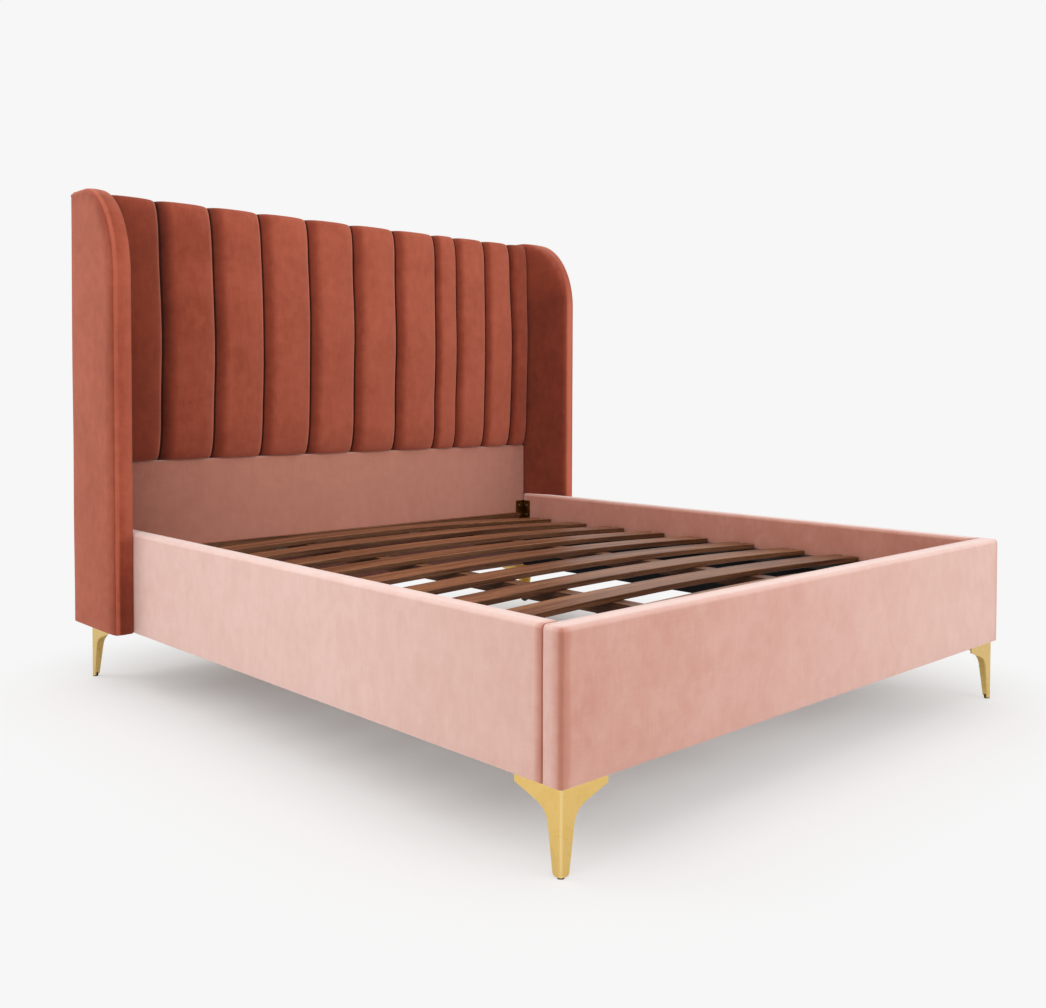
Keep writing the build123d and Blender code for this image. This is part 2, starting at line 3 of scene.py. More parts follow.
import bmesh
import bpy
import numpy as np
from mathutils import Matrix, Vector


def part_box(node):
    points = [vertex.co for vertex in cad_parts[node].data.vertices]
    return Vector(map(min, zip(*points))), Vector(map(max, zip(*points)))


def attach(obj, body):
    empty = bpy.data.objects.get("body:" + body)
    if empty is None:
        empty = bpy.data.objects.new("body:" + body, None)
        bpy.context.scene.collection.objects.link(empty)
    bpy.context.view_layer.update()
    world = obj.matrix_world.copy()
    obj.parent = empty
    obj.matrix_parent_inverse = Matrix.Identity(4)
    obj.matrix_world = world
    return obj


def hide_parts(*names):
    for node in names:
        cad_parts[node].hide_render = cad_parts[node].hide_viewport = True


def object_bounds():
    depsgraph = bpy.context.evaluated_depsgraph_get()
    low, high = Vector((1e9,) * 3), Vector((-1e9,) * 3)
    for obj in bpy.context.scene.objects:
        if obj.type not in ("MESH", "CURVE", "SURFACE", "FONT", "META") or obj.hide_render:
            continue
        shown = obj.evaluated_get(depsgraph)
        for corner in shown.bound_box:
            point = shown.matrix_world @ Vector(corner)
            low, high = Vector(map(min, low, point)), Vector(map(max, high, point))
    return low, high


# Upholstered bed frame: velvet channels between two wings, padded rails, stained slats and brass legs.
# Everything is in metres, in the frame of the solids: X across the bed, Y towards the headboard, Z up.

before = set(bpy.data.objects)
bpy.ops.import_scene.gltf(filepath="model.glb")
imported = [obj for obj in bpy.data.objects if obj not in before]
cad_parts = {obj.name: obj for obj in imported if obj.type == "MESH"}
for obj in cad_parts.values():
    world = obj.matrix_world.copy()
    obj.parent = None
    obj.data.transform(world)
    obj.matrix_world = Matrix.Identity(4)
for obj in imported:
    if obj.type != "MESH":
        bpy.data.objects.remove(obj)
cad_bounds = [list(corner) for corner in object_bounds()]

mm = 0.001
body = "frame"

# Sizes of the upholstery
soft_gap = 0.3 * mm
shell_fade = 20 * mm  # unevenness grows over this depth in front of the backing board

# Channels
channel_crown = 26 * mm
channel_groove = 2 * mm  # how far the seams are pulled in behind the solids' seams
channel_belly = 8 * mm  # of the solids
seam_belly = 6 * mm  # how far seams and crowns stand forward halfway up
crown_belly = 3 * mm  # further belly of the crowns alone
channel_top = (30 * mm, 125 * mm)  # the front draws back by this depth over this height at the top
channel_foot = (34 * mm, 150 * mm)  # and so it does at the foot
channel_end_power = 2.4  # of the superellipse on which it draws back
channel_scallop = 4 * mm  # seams lower than crowns at the top
channel_foot_draw = 2 * mm  # seams higher than crowns at the foot
crown_power = 3.0
crown_fullness = 0.52
channel_ripple = (220 * mm, 0.9 * mm)  # length and height of the unevenness
seam_drift = 0.8 * mm
seam_drift_turns = (17, 6)  # radians in a metre, up and across
last_seam_bow = (17 * mm, 55 * mm)  # the last seam wanders towards the right wing halfway up, and its width
first_seams_bow = 14 * mm  # the seams beside the left wing do so too
first_seams_places = (100 * mm, 270 * mm)  # from the wing: most of the bow at the first, all at the second
first_seams_share = 0.75  # of the bow at the first place
first_seams_end = 300 * mm  # right of the bed's middle, where the bow has faded
gather_depth = 1.6 * mm
gather_spacing = 10 * mm
gather_reach = 26 * mm
gather_height = 34 * mm
gather_start = 6 * mm  # from the seam
gather_lean = 0.4  # sideways for each unit up

# Rails and the plain panel
rail_edge = 12 * mm
rail_bottom_edge = 3 * mm
rail_end_edge = 8 * mm
rail_seam_edge = 4 * mm
rail_strip_edge = 3 * mm
rail_crown = 1.6 * mm
rail_ripple = (300 * mm, 0.5 * mm)
lining_fade = 30 * mm  # the inner face is flat behind the lining and swells over this height above it
panel_edge = 7 * mm
panel_crown = 3 * mm
panel_ripple = (350 * mm, 0.9 * mm)

# Wings
wing_corner_depth = 230 * mm
wing_corner_height = 285 * mm
wing_flare = 48 * mm  # extra thickness of the right wing beside the channels
wing_inner_edge = 11 * mm
wing_band_crown = 1.5 * mm
wing_rim = 6 * mm  # rolled rim of the front band along its outer seam
wing_rim_depth = 6 * mm
wing_side_inset = 9 * mm  # the side swells out of the seam over this width and depth
wing_side_roll = 44 * mm
wing_top_roll = 16 * mm  # the same roll where the edge runs over the top
wing_side_swell = 3 * mm
wing_bottom_edge = 7 * mm
wing_rear_edge = 8 * mm
wing_ripple = (400 * mm, 0.8 * mm)
wing_inward_steps = (0.06, 0.14, 0.25, 0.4, 0.6, 0.8, 1.0)  # columns of the faces behind the edge

# Painted light and shade on the velvet, from 0 deep painted shade to 1 lit. Places across a pad run from -1 at its
# left seam to 1 at its right one.
channel_painted_light = (0.75, 0.46, 290 * mm)  # painted light at the right, how much painted shade at the left wing, and over what width
channel_slant_painted_light = 0.04  # painted light at a pad's right seam and painted shade at its left one
last_channel_shade = 0.22  # painted shade on the last pad beside the right wing
channel_flank = (-1.0, -0.45)  # full deep painted shade at the first place, none from the second on
channel_deep_shade = (0.8, 0.45)  # share taken off by that deep painted shade, at the left wing and to the right of ...
channel_deep_shade_end = -300 * mm  # ... this place
channel_rim_painted_light, channel_rim = 0.25, (0.8, 0.97)  # painted highlight where it turns into the right seam
channel_seam_shade, channel_seam = 0.5, (-1.0, -0.94)  # and painted shade along the left one
channel_top_painted_light = (0.4, 0.24, 120 * mm)  # over the top, painted light lifts the first share of the flank's painted shade and painted shade takes off the second, in this height
channel_top_start = -0.9  # but not beside the left seam
# painted shade on the inner face, painted light on the outer faces
rail_painted_light = {"inner": 0.5, "side": 0.79, "foot": 0.75}
rail_top_painted_light = 0.1  # painted highlight on the top
# painted shade along the near corner and the seams
rail_corner_shade = {"side": 0.36, "foot": 0.22}
corner_shade_width = 14 * mm  # width of the painted shade along a folded corner or a seam
rail_turn = 20 * mm  # depth from the inner face over which its painted shade turns into the outer face's painted light
rail_outer = (30 * mm, 50 * mm)  # and where the outer face's own changes begin
foot_rail_slant = 0.15  # painted shade at the left end of the foot rail's outer face
strip_edge_painted_light, strip_edge = 0.25, (8 * mm, 2 * mm)  # painted highlight as the corner strip turns into its seam
strip_face = 5 * mm  # depth of that strip from the rail's end
side_rail_light_wave = (0.03, 1900 * mm, 250 * mm)  # long wave of painted light along a side rail: height, length and start
# painted shade over the whole lower panel
panel_painted_light = 0.48
panel_left_shade = (0.4, 250 * mm)  # painted shade beside the left wing, fading over this width
# painted shade beside the right wing, fading over this width
panel_right_shade = (0.25, 200 * mm)
panel_low_shade = (0.45, 120 * mm, 90 * mm)  # painted shade between the slats, this far below the rails' top
# painted shade on a wing's inner face, painted light on its bands and side
wing_painted_light = {"inner": 0.33, "left": 0.68, "right": 1.0, "side": 0.65}
wing_band_slant = (0.08, -0.05)  # painted light at the left band's inner edge, painted shade before its rim
wing_band_shade = 0.3  # painted shade on the inner half of the right band
wing_fold_painted_light = (0.08, 25 * mm)  # painted light on the inner face beside the band, fading over this width
wing_crease_shade = 0.12  # painted shade on the side beside its seam
# painted highlight on the band's rim
wing_rim_painted_light = 0.1
wing_low_shade = 0.34  # painted shade on the band beside the rail, from the first height below its top to the second above
wing_low_heights = (250 * mm, 150 * mm)
wing_low_depth = 100 * mm
wing_corner_painted_light = {"left": (-0.12, -0.12), "right": (0.12, -0.3)}  # painted light and shade round the corner, on the inner face and on the band
wing_corner_fade = 150 * mm

# Places of the solids
high_corner = np.array(cad_bounds[1])
top_rail_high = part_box("headboard_top_rail")[1]
pad_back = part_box("headboard_backing_board")[0].y - soft_gap
rail_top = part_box("foot_rail_cover")[1].z
pad_names = sorted(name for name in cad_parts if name.startswith("channel_pad"))
seam_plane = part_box(pad_names[0])[0].y + channel_crown + channel_belly
last_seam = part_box(pad_names[-1])[0].x
seam_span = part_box(pad_names[-1])[1].x
low_wing, high_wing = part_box("wing_cover_right")
wing_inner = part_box("side_rail_cover_right")[1].x + soft_gap
wing_radii = np.array([wing_corner_depth, wing_corner_height])
wing_centre = np.array([low_wing.y + wing_corner_depth, high_wing.z - wing_corner_height])


# Meshes


def add_mesh(name, points, quads, caps=(), painted_light=None):
    """Mesh from points, quads and some faces of many sides. Painted light is the velvet's painted light and shade at
    each point: 0 deep painted shade, a half painted shade, 1 lit."""
    mesh = bpy.data.meshes.new(name)
    corners = np.concatenate([np.asarray(quads).ravel()] + [np.asarray(cap) for cap in caps]).astype(np.int32)
    sizes = np.array([4] * len(quads) + [len(cap) for cap in caps], np.int32)
    mesh.vertices.add(len(points))
    mesh.vertices.foreach_set("co", np.asarray(points, np.float32).ravel())
    mesh.loops.add(len(corners))
    mesh.loops.foreach_set("vertex_index", corners)
    mesh.polygons.add(len(sizes))
    mesh.polygons.foreach_set("loop_start", np.concatenate([[0], np.cumsum(sizes)[:-1]]).astype(np.int32))
    if painted_light is not None:
        layer = mesh.attributes.new("painted_light", "FLOAT", "POINT")
        layer.data.foreach_set("value", np.asarray(painted_light, np.float32).ravel())
    mesh.update(calc_edges=True)
    mesh.validate()
    return mesh


def smooth(value, low, high):
    """Smooth step from 0 to 1 between two values."""
    share = np.clip((value - low) / (high - low), 0, 1)
    return share * share * (3 - 2 * share)


def fading(away, amount, width):
    """Amount that dies away exponentially over a width."""
    return amount * np.exp(-away / width)


def weld(mesh, distance=0.02 * mm, loose=0.0):
    """Merges points that lie on each other, drops faces without area and turns the faces outwards. A shell of
    loose grids is first joined over a wider distance, and its holes are filled."""
    work = bmesh.new()
    work.from_mesh(mesh)
    if loose:
        bmesh.ops.remove_doubles(work, verts=work.verts, dist=loose)
        bmesh.ops.holes_fill(work, edges=[edge for edge in work.edges if edge.is_boundary], sides=0)
    bmesh.ops.remove_doubles(work, verts=work.verts, dist=distance)
    bmesh.ops.dissolve_degenerate(work, edges=work.edges, dist=distance / 10)
    bmesh.ops.recalc_face_normals(work, faces=work.faces)
    work.to_mesh(mesh)
    work.free()


def add_object(name, data):
    """Object in the scene for a mesh, a lamp or a camera."""
    made = bpy.data.objects.new(name, data)
    bpy.context.scene.collection.objects.link(made)
    return made


def add_piece(name, mesh, material, nodes, sharp=50):
    """Object for a finished mesh, shaded smooth up to an angle, riding on the bed."""
    mesh.shade_smooth()
    mesh.set_sharp_from_angle(angle=math.radians(sharp))
    mesh.materials.append(material)
    piece = add_object(name, mesh)
    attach(piece, body)
    if nodes:
        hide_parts(*nodes)
    return piece


def grid_quads(rows, columns, first=0, wrap=False):
    """Quads of a grid of points that are counted row by row. Wrap joins the last column to the first."""
    row = np.arange(rows - 1)[:, None] * columns
    column = np.arange(columns if wrap else columns - 1)[None, :]
    beside = (column + 1) % columns
    quads = np.stack([row + column, row + beside, row + columns + beside, row + columns + column], -1)
    return quads.reshape(-1, 4) + first


def ripple(points, wavelength, amount, seed):
    """Gentle unevenness: the mean of eight sine waves in random directions, scaled to an amount."""
    draw = np.random.default_rng(seed)
    directions = draw.normal(size=(8, 3))
    directions /= np.linalg.norm(directions, axis=1)[:, None]
    lengths = wavelength * draw.uniform(0.6, 1.7, 8)
    phases = draw.uniform(0, 2 * np.pi, 8)
    waves = np.sin(points @ (directions * (2 * np.pi / lengths)[:, None]).T + phases)
    return amount * waves.mean(-1) * 2


def stepped(low, high, first, last, step, turns=7):
    """Grid lines between two planes, a step apart but closer together over the first and last rounded edge."""
    tangent = np.tan(np.linspace(0, math.pi / 4, turns))
    count = max(2, int(round((high - low - first - last) / step)) + 1)
    between = np.linspace(low + first, high - last, count)
    return np.concatenate([low + first * (1 - tangent[:0:-1]), between, high - last * (1 - tangent[1:])])


def soft_box(low, high, edges, step):
    """Box with rounded edges: each point of a gridded box goes to an ellipsoid round the inner box. An edge is
    one radius for an axis, or two for its low and high side."""
    low, high = np.array(low, float), np.array(high, float)
    first, last = np.array([np.broadcast_to(edge, 2) for edge in edges], float).T
    lines = [stepped(low[axis], high[axis], first[axis], last[axis], step) for axis in range(3)]
    points, quads, count = [], [], 0
    for axis in range(3):
        one, other = (axis + 1) % 3, (axis + 2) % 3
        for side, corner in enumerate((low, high)):
            across, along = np.meshgrid(lines[one], lines[other], indexing="ij")
            face = np.empty(across.shape + (3,))
            face[..., axis], face[..., one], face[..., other] = corner[axis], across, along
            some = grid_quads(*across.shape, first=count)
            quads.append(some if side == 0 else some[:, ::-1])
            points.append(face.reshape(-1, 3))
            count += across.size
    points = np.concatenate(points)
    inner = np.clip(points, low + first, high - last)
    reach = np.where(points < inner, first, last)
    away = (points - inner) / reach
    away /= np.linalg.norm(away, axis=1)[:, None]
    return inner + away * reach, np.concatenate(quads)


def swell(points, axis, low, high, amount):
    """Crowns the two faces across an axis, most in the middle of the box and nothing at its edges."""
    fullness = np.ones(len(points))
    for other in range(3):
        if other != axis:
            share = np.clip((points[:, other] - low[other]) / (high[other] - low[other]), 0, 1)
            fullness *= 1 - (2 * share - 1) ** 4
    middle, half = (low[axis] + high[axis]) / 2, (high[axis] - low[axis]) / 2
    points[:, axis] += (points[:, axis] - middle) / half * amount * fullness
    return points


# Materials


def linear(colour):
    """Linear colour of an sRGB hex value."""
    values = [int(colour[place : place + 2], 16) / 255 for place in (1, 3, 5)]
    return [v / 12.92 if v <= 0.04045 else ((v + 0.055) / 1.055) ** 2.4 for v in values] + [1.0]


def node(tree, kind, inputs=(), **settings):
    """Adds a node, sets its settings, and sets or links its inputs, given by name or number."""
    made = tree.nodes.new(kind)
    for name, value in settings.items():
        setattr(made, name, value)
    for socket, value in dict(inputs).items():
        if isinstance(value, bpy.types.NodeSocket):
            tree.links.new(value, made.inputs[socket])
        else:
            made.inputs[socket].default_value = value
    return made


def new_material(name, **shader_values):
    """Material with a Principled shader, its node tree and the object's own coordinates."""
    material = bpy.data.materials.new(name)
    material.use_nodes = True
    tree = material.node_tree
    shader = tree.nodes["Principled BSDF"]
    for socket, value in shader_values.items():
        shader.inputs[socket.replace("_", " ")].default_value = value
    place = node(tree, "ShaderNodeTexCoord").outputs["Object"]
    return material, tree, shader, place


def pattern(tree, place, sizes, detail=2.0, roughness=0.5, distortion=0.0):
    """Noise whose grains have these sizes along X, Y and Z, in metres."""
    scale = [1 / size for size in sizes]
    moved = node(tree, "ShaderNodeMapping", {"Vector": place, "Scale": scale}).outputs[0]
    values = {"Vector": moved, "Scale": 1.0, "Detail": detail, "Roughness": roughness, "Distortion": distortion}
    return node(tree, "ShaderNodeTexNoise", values).outputs["Fac"]


def turning_colour(tree, value, low, high, first, second, shares=(0.0, 1.0), rule="SMOOTHSTEP"):
    """Colour that turns from the first to the second as a value goes from low to high. Shares are those of the
    second colour at both."""
    limits = {"Value": value, "From Min": low, "From Max": high, "To Min": shares[0], "To Max": shares[1]}
    share = node(tree, "ShaderNodeMapRange", limits, interpolation_type=rule).outputs[0]
    return node(tree, "ShaderNodeMix", {0: share, 6: first, 7: second}, data_type="RGBA").outputs[2]


def total(tree, parts):
    """Weighted sum of values, from pairs of a socket and its weight."""
    result = 0.0
    for socket, weight in parts:
        result = node(tree, "ShaderNodeMath", {0: socket, 1: weight, 2: result}, operation="MULTIPLY_ADD").outputs[0]
    return result


def finish(tree, shader, colour, relief, strength, depth, gloss=()):
    """Links a material's colour and relief. Gloss is a noise, whose values lie mostly between 0.3 and 0.7, and
    the two roughnesses between which it goes."""
    bump = node(tree, "ShaderNodeBump", {"Height": relief, "Strength": strength, "Distance": depth})
    tree.links.new(colour, shader.inputs["Base Color"])
    tree.links.new(bump.outputs[0], shader.inputs["Normal"])
    if gloss:
        noise, low, high = gloss
        limits = {"Value": noise, "From Min": 0.3, "From Max": 0.7, "To Min": low, "To Max": high}
        rough = node(tree, "ShaderNodeMapRange", limits, interpolation_type="SMOOTHSTEP")
        tree.links.new(rough.outputs[0], shader.inputs["Roughness"])


def cotton_velvet(name, lit, shaded, deep_shade, sheen, sheen_weight, strokes):
    """Cotton velvet, woven and sheared, with hand strokes and cloudy brushed patches. Its colour goes from deep
    shade through shade to lit, following the painted light and shade stored on the mesh."""
    values = {"Sheen_Weight": sheen_weight, "Sheen_Roughness": 0.5, "Sheen_Tint": linear(sheen)}
    material, tree, shader, place = new_material(name, Roughness=0.92, Specular_IOR_Level=0.12, **values)
    clouds = pattern(tree, place, (150 * mm,) * 3, detail=3.0, roughness=0.55)
    patches = pattern(tree, place, (34 * mm, 34 * mm, 44 * mm), detail=3.0, distortion=0.4)
    upright = pattern(tree, place, (6 * mm, 6 * mm, 60 * mm))
    level = pattern(tree, place, (50 * mm, 50 * mm, 6 * mm))
    pile = pattern(tree, place, (1.6 * mm,) * 3, detail=1.0)  # drawn coarser than the real 0.4 mm pile
    lay = total(tree, [(clouds, 0.32), (patches, 0.34), (upright, 0.14), (level, 0.1), (pile, 0.1)])
    limits = {"Value": lay, "From Min": 0.3, "From Max": 0.7, "To Min": -strokes, "To Max": strokes}
    lay = node(tree, "ShaderNodeMapRange", limits, interpolation_type="SMOOTHSTEP").outputs[0]
    # painted light and shade from the mesh, with the random tone of strokes and patches, picks the colour
    painted_light = node(tree, "ShaderNodeAttribute", attribute_name="painted_light").outputs["Fac"]
    light_and_tone = total(tree, [(painted_light, 1.0), (lay, 1.0)])
    colour = turning_colour(tree, light_and_tone, 0.0, 0.5, linear(deep_shade), linear(shaded), rule="LINEAR")
    colour = turning_colour(tree, light_and_tone, 0.5, 1.0, colour, linear(lit), rule="LINEAR")
    relief = total(tree, [(pile, 0.5), (upright, 0.3), (level, 0.2)])
    finish(tree, shader, colour, relief, 0.35, 0.5 * mm)
    return material


def grain(along, length, width):
    """Sizes of a grain that is long along one axis and narrow across it."""
    return [length if axis == along else width for axis in "XYZ"]


def stained_poplar(name, along, pale, dark, deepest):
    """Poplar stained to walnut under a satin lacquer: long straight fibres, broad figure and dark pores. The faces
    that don't face up carry painted shade, halfway to the deepest colour."""
    material, tree, shader, place = new_material(name, Specular_IOR_Level=0.25)
    figure = pattern(tree, place, grain(along, 900 * mm, 26 * mm), detail=3.0, distortion=0.6)
    fibres = pattern(tree, place, grain(along, 315 * mm, 2.4 * mm), detail=3.0, roughness=0.6)
    pores = pattern(tree, place, grain(along, 45 * mm, 1.44 * mm), detail=1.0)
    tone = total(tree, [(figure, 0.55), (fibres, 0.45)])
    wood = turning_colour(tree, tone, 0.36, 0.64, linear(dark), linear(pale))
    wood = turning_colour(tree, pores, 0.58, 0.7, wood, linear(deepest), shares=(0.0, 0.75))
    # painted shade on the sides and undersides
    normal = node(tree, "ShaderNodeTexCoord").outputs["Normal"]
    upwards = node(tree, "ShaderNodeSeparateXYZ", {0: normal}).outputs["Z"]
    wood = turning_colour(tree, upwards, 0.2, 0.8, wood, linear(deepest), shares=(0.5, 0.0))
    finish(tree, shader, wood, fibres, 0.25, 0.3 * mm, gloss=(fibres, 0.38, 0.5))
    return material


def planed_pine(name, along, pale, dark):
    """Planed pine: straight growth lines and pale resinous streaks, dry to the touch."""
    material, tree, shader, place = new_material(name, Roughness=0.7)
    rings = pattern(tree, place, grain(along, 700 * mm, 14 * mm), distortion=0.8)
    fibres = pattern(tree, place, grain(along, 160 * mm, 1.6 * mm))
    tone = total(tree, [(rings, 0.7), (fibres, 0.3)])
    wood = turning_colour(tree, tone, 0.4, 0.62, linear(pale), linear(dark))
    finish(tree, shader, wood, fibres, 0.2, 0.3 * mm)
    return material


def worked_metal(name, base, worn, fold_highlight, roughness, grain_sizes):
    """Metal with a fine directional finish: the grain breaks up its gloss and touches of wear its colour. A fold
    between two upright faces gets a painted highlight, where the normal's X and Y are both large."""
    material, tree, shader, place = new_material(name, Metallic=1.0)
    scratches = pattern(tree, place, grain_sizes)
    smears = pattern(tree, place, (35 * mm,) * 3)
    colour = turning_colour(tree, smears, 0.3, 0.75, linear(base), linear(worn))
    # painted highlight along a fold between two upright faces
    normal = node(tree, "ShaderNodeTexCoord").outputs["Normal"]
    normal = node(tree, "ShaderNodeSeparateXYZ", {0: normal}).outputs
    fold = node(tree, "ShaderNodeMath", {0: normal["X"], 1: normal["Y"]}, operation="MULTIPLY").outputs[0]
    fold = node(tree, "ShaderNodeMath", {0: fold}, operation="ABSOLUTE").outputs[0]
    colour = turning_colour(tree, fold, 0.2, 0.48, colour, linear(fold_highlight), shares=(0.0, 0.3))
    gloss = total(tree, [(scratches, 0.3), (smears, 0.7)])
    finish(tree, shader, colour, scratches, 0.04, 0.1 * mm, gloss=(gloss, roughness * 0.95, roughness * 1.05))
    return material


def moulded_plastic(name, base, worn, roughness):
    """Moulded plastic or powder coat: one colour with a fine pebbled skin and light scuffs."""
    material, tree, shader, place = new_material(name)
    pebbles = pattern(tree, place, (0.9 * mm,) * 3, detail=1.0)
    scuffs = pattern(tree, place, (22 * mm,) * 3, detail=3.0)
    colour = turning_colour(tree, scuffs, 0.5, 0.75, linear(base), linear(worn))
    finish(tree, shader, colour, pebbles, 0.2, 0.15 * mm, gloss=(scuffs, roughness, roughness * 1.25))
    return material


def spunbond_lining(name, base, thread):
    """Black spunbond lining: matt felt with a close pattern of pressed dots."""
    material, tree, shader, place = new_material(name, Roughness=0.95, Specular_IOR_Level=0.2)
    dots = node(tree, "ShaderNodeTexVoronoi", {"Vector": place, "Scale": 1 / (3.2 * mm), "Randomness": 0.15})
    fuzz = pattern(tree, place, (5 * mm,) * 3, detail=3.0)
    weave = total(tree, [(dots.outputs["Distance"], 0.6), (fuzz, 0.5)])
    colour = turning_colour(tree, weave, 0.3, 0.8, linear(base), linear(thread))
    finish(tree, shader, colour, weave, 0.4, 0.3 * mm)
    return material


# colours of the velvet lit, in painted shade and in deep painted shade, then the sheen's tint and weight and the
# strokes
terracotta = cotton_velvet("terracotta_velvet", "#C86C54", "#8A3D2A", "#2E0602", "#FFBCA4", 0.48, 0.09)
blush = cotton_velvet("blush_velvet", "#EFCFC5", "#C2806C", "#7C4638", "#FFF4F0", 1.0, 0.06)
walnut_across = stained_poplar("walnut_stained_poplar_across", "X", "#9A6746", "#5A331A", "#281006")
walnut_along = stained_poplar("walnut_stained_poplar_along", "Y", "#80553A", "#4B2813", "#2A1106")
black_pine = planed_pine("black_stained_pine", "Y", "#1D1815", "#100C0A")
pine_upright = planed_pine("planed_pine_upright", "Z", "#D9BC8C", "#BC935F")
pine_across = planed_pine("planed_pine_across", "X", "#D9BC8C", "#BC935F")
pine_along = planed_pine("planed_pine_along", "Y", "#D9BC8C", "#BC935F")
plywood = planed_pine("poplar_plywood", "X", "#CDAF82", "#AF8A5C")
lining = spunbond_lining("spunbond_lining", "#151517", "#26262A")
# base, wear and painted fold highlight colours, then roughness and grain sizes
brass = worked_metal("brushed_brass", "#ECCD80", "#E8C777", "#FBEBBE", 0.27, (0.5 * mm, 0.5 * mm, 18 * mm))
old_brass = worked_metal("antiqued_brass", "#4E351A", "#8A6228", "#A87C38", 0.38, (2 * mm, 2 * mm, 2 * mm))
steel = worked_metal("zinc_plated_steel", "#BDB9AE", "#A39F96", "#D0CDC6", 0.34, (1.2 * mm, 1.2 * mm, 1.2 * mm))
black_steel = moulded_plastic("powder_coated_steel", "#161617", "#29292B", 0.42)
black_nylon = moulded_plastic("moulded_nylon", "#1B1614", "#302A26", 0.5)

node_materials = [
    (steel, "slat_screws", "beam_hangers", "leg_screws", "bracket_screws", "wing_bolts"),
    (walnut_across, "slat_", "foot_cross_board", "head_cross_board"),
    (walnut_along, "long_beam"),
    (black_pine, "side_cleat"),
    (plywood, "headboard_backing_board", "wing_core"),
    (pine_upright, "headboard_stile"),
    (pine_across, "headboard_", "foot_rail_core"),
    (pine_along, "side_rail_core"),
    (black_steel, "support_leg"),
    (black_nylon, "levelling_foot", "leg_glides"),
    (brass, "leg_"),
    (old_brass, "corner_brackets"),
]


def dress_solids():
    """Gives each rigid solid its material, from the first row that holds a start of its name."""
    for name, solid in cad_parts.items():
        fitting = [material for material, *starts in node_materials if name.startswith(tuple(starts))]
        if fitting:
            solid.data.materials.clear()
            solid.data.materials.append(fitting[0])


# Channels


def channel_profile(fullness):
    """Closed side view of a pad for each fullness, as Y and Z: underside, front, top and back. The front is
    gently bellied between two ends that draw back as quarter superellipses."""
    fullness = fullness[:, None]
    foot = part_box(pad_names[0])[0].z + channel_foot_draw * (1 - fullness)
    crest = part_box(pad_names[0])[1].z - channel_scallop * (1 - fullness)
    front = seam_plane + channel_groove * (1 - fullness) - channel_crown * fullness
    over, back = top_rail_high.z + soft_gap, high_corner[1]
    turn = np.linspace(0, math.pi / 2, 22)[None, :]
    rise, run = np.sin(turn) ** (2 / channel_end_power), 1 - np.cos(turn) ** (2 / channel_end_power)
    depth, reach = channel_foot
    foot_roll = ((front + depth * run)[:, ::-1], (foot + reach * (1 - rise))[:, ::-1])
    low = foot + reach
    depth, reach = channel_top
    top_roll = (front + depth * run, crest - reach * (1 - rise))
    high = crest - reach
    share = np.linspace(0, 1, 44)[1:-1][None, :]
    belly = (seam_belly + crown_belly * fullness) * (1 - np.cos(2 * np.pi * share)) / 2
    bellied = (front - belly, low + (high - low) * share)
    level = np.linspace(0, 1, 6)[None, :]
    under = (pad_back + (foot_roll[0][:, :1] - pad_back) * level[:, :-1], foot + 0 * level[:, :-1])
    top = (top_roll[0][:, -1:] + (back - top_roll[0][:, -1:]) * level[:, 1:], crest + 0 * level[:, 1:])
    behind_y = np.array([back, (back + pad_back) / 2, pad_back, pad_back, pad_back])[None, :] + 0 * fullness
    behind_z = np.array([over, over, over, over * 0.7 + foot.max() * 0.3, over * 0.3 + foot.max() * 0.7])
    behind = (behind_y, behind_z[None, :] + 0 * fullness)
    parts = (under, foot_roll, bellied, top_roll, top, behind)
    return np.concatenate([part[0] for part in parts], 1), np.concatenate([part[1] for part in parts], 1)


def gathers(points, name, number):
    """Depth of the small gathers at a pad's foot: slanting waves that fade away from both seams and upwards."""
    low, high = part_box(name)
    above_foot = points[:, 2] - low.z
    depth = 0
    for off_seam in (points[:, 0] - low.x, high.x - points[:, 0]):
        fold = np.sin(2 * np.pi * (off_seam - gather_lean * above_foot) / gather_spacing + number)
        fade = np.exp(-off_seam / gather_reach) * np.exp(-above_foot / gather_height)
        depth = depth + gather_depth * fold * fade * np.clip(off_seam / gather_start, 0, 1)
    return depth


def wandering_seams(points, shown):
    """Sideways shift of the channels: a faint drift, and seams beside the two wings that bow to the right
    halfway up, the last as a squared sine of the height and the first ones as a plain sine."""
    inside = np.clip(1 - (points[:, 0] / seam_span) ** 8, 0, 1)
    upwards, sideways = seam_drift_turns
    points[:, 0] += seam_drift * np.sin(points[:, 2] * upwards + points[:, 0] * sideways) * inside
    amount, width = last_seam_bow
    up = np.clip((points[:, 2] - rail_top) / (high_corner[2] - rail_top), 0, 1)
    bow = np.sin(np.pi * up)
    near_last = np.exp(-(((points[:, 0] - last_seam) / width) ** 2))
    points[:, 0] += amount * bow**2 * near_last * inside * shown
    near, far = first_seams_places
    places = (-seam_span, -seam_span + near, -seam_span + far, first_seams_end)
    points[:, 0] += first_seams_bow * bow * np.interp(points[:, 0], places, (0, first_seams_share, 1, 0)) * shown
    return points


def channel_light_and_shade(name, across, height):
    """Painted light and shade of a pad: painted shade towards the left wing and deep painted shade beside the left
    seam, a painted highlight where it turns into the right seam, and painted light and shade over the top."""
    middle = (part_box(name)[0].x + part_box(name)[1].x) / 2
    lit, less, width = channel_painted_light
    painted_light = lit - fading(middle + wing_inner, less, width)
    painted_light -= last_channel_shade * (name == pad_names[-1])
    deep_shade = np.interp(middle, (-wing_inner, channel_deep_shade_end), channel_deep_shade)
    painted_light *= 1 - deep_shade * (1 - smooth(across, *channel_flank))
    painted_light += channel_rim_painted_light * smooth(across, *channel_rim)
    painted_light -= channel_seam_shade * (1 - smooth(across, *channel_seam))
    lightened, shaded, reach = channel_top_painted_light
    over_top = smooth(height, high_corner[2] - reach, high_corner[2]) * (across > channel_top_start)
    return painted_light + (lightened * deep_shade - shaded) * over_top + channel_slant_painted_light * across


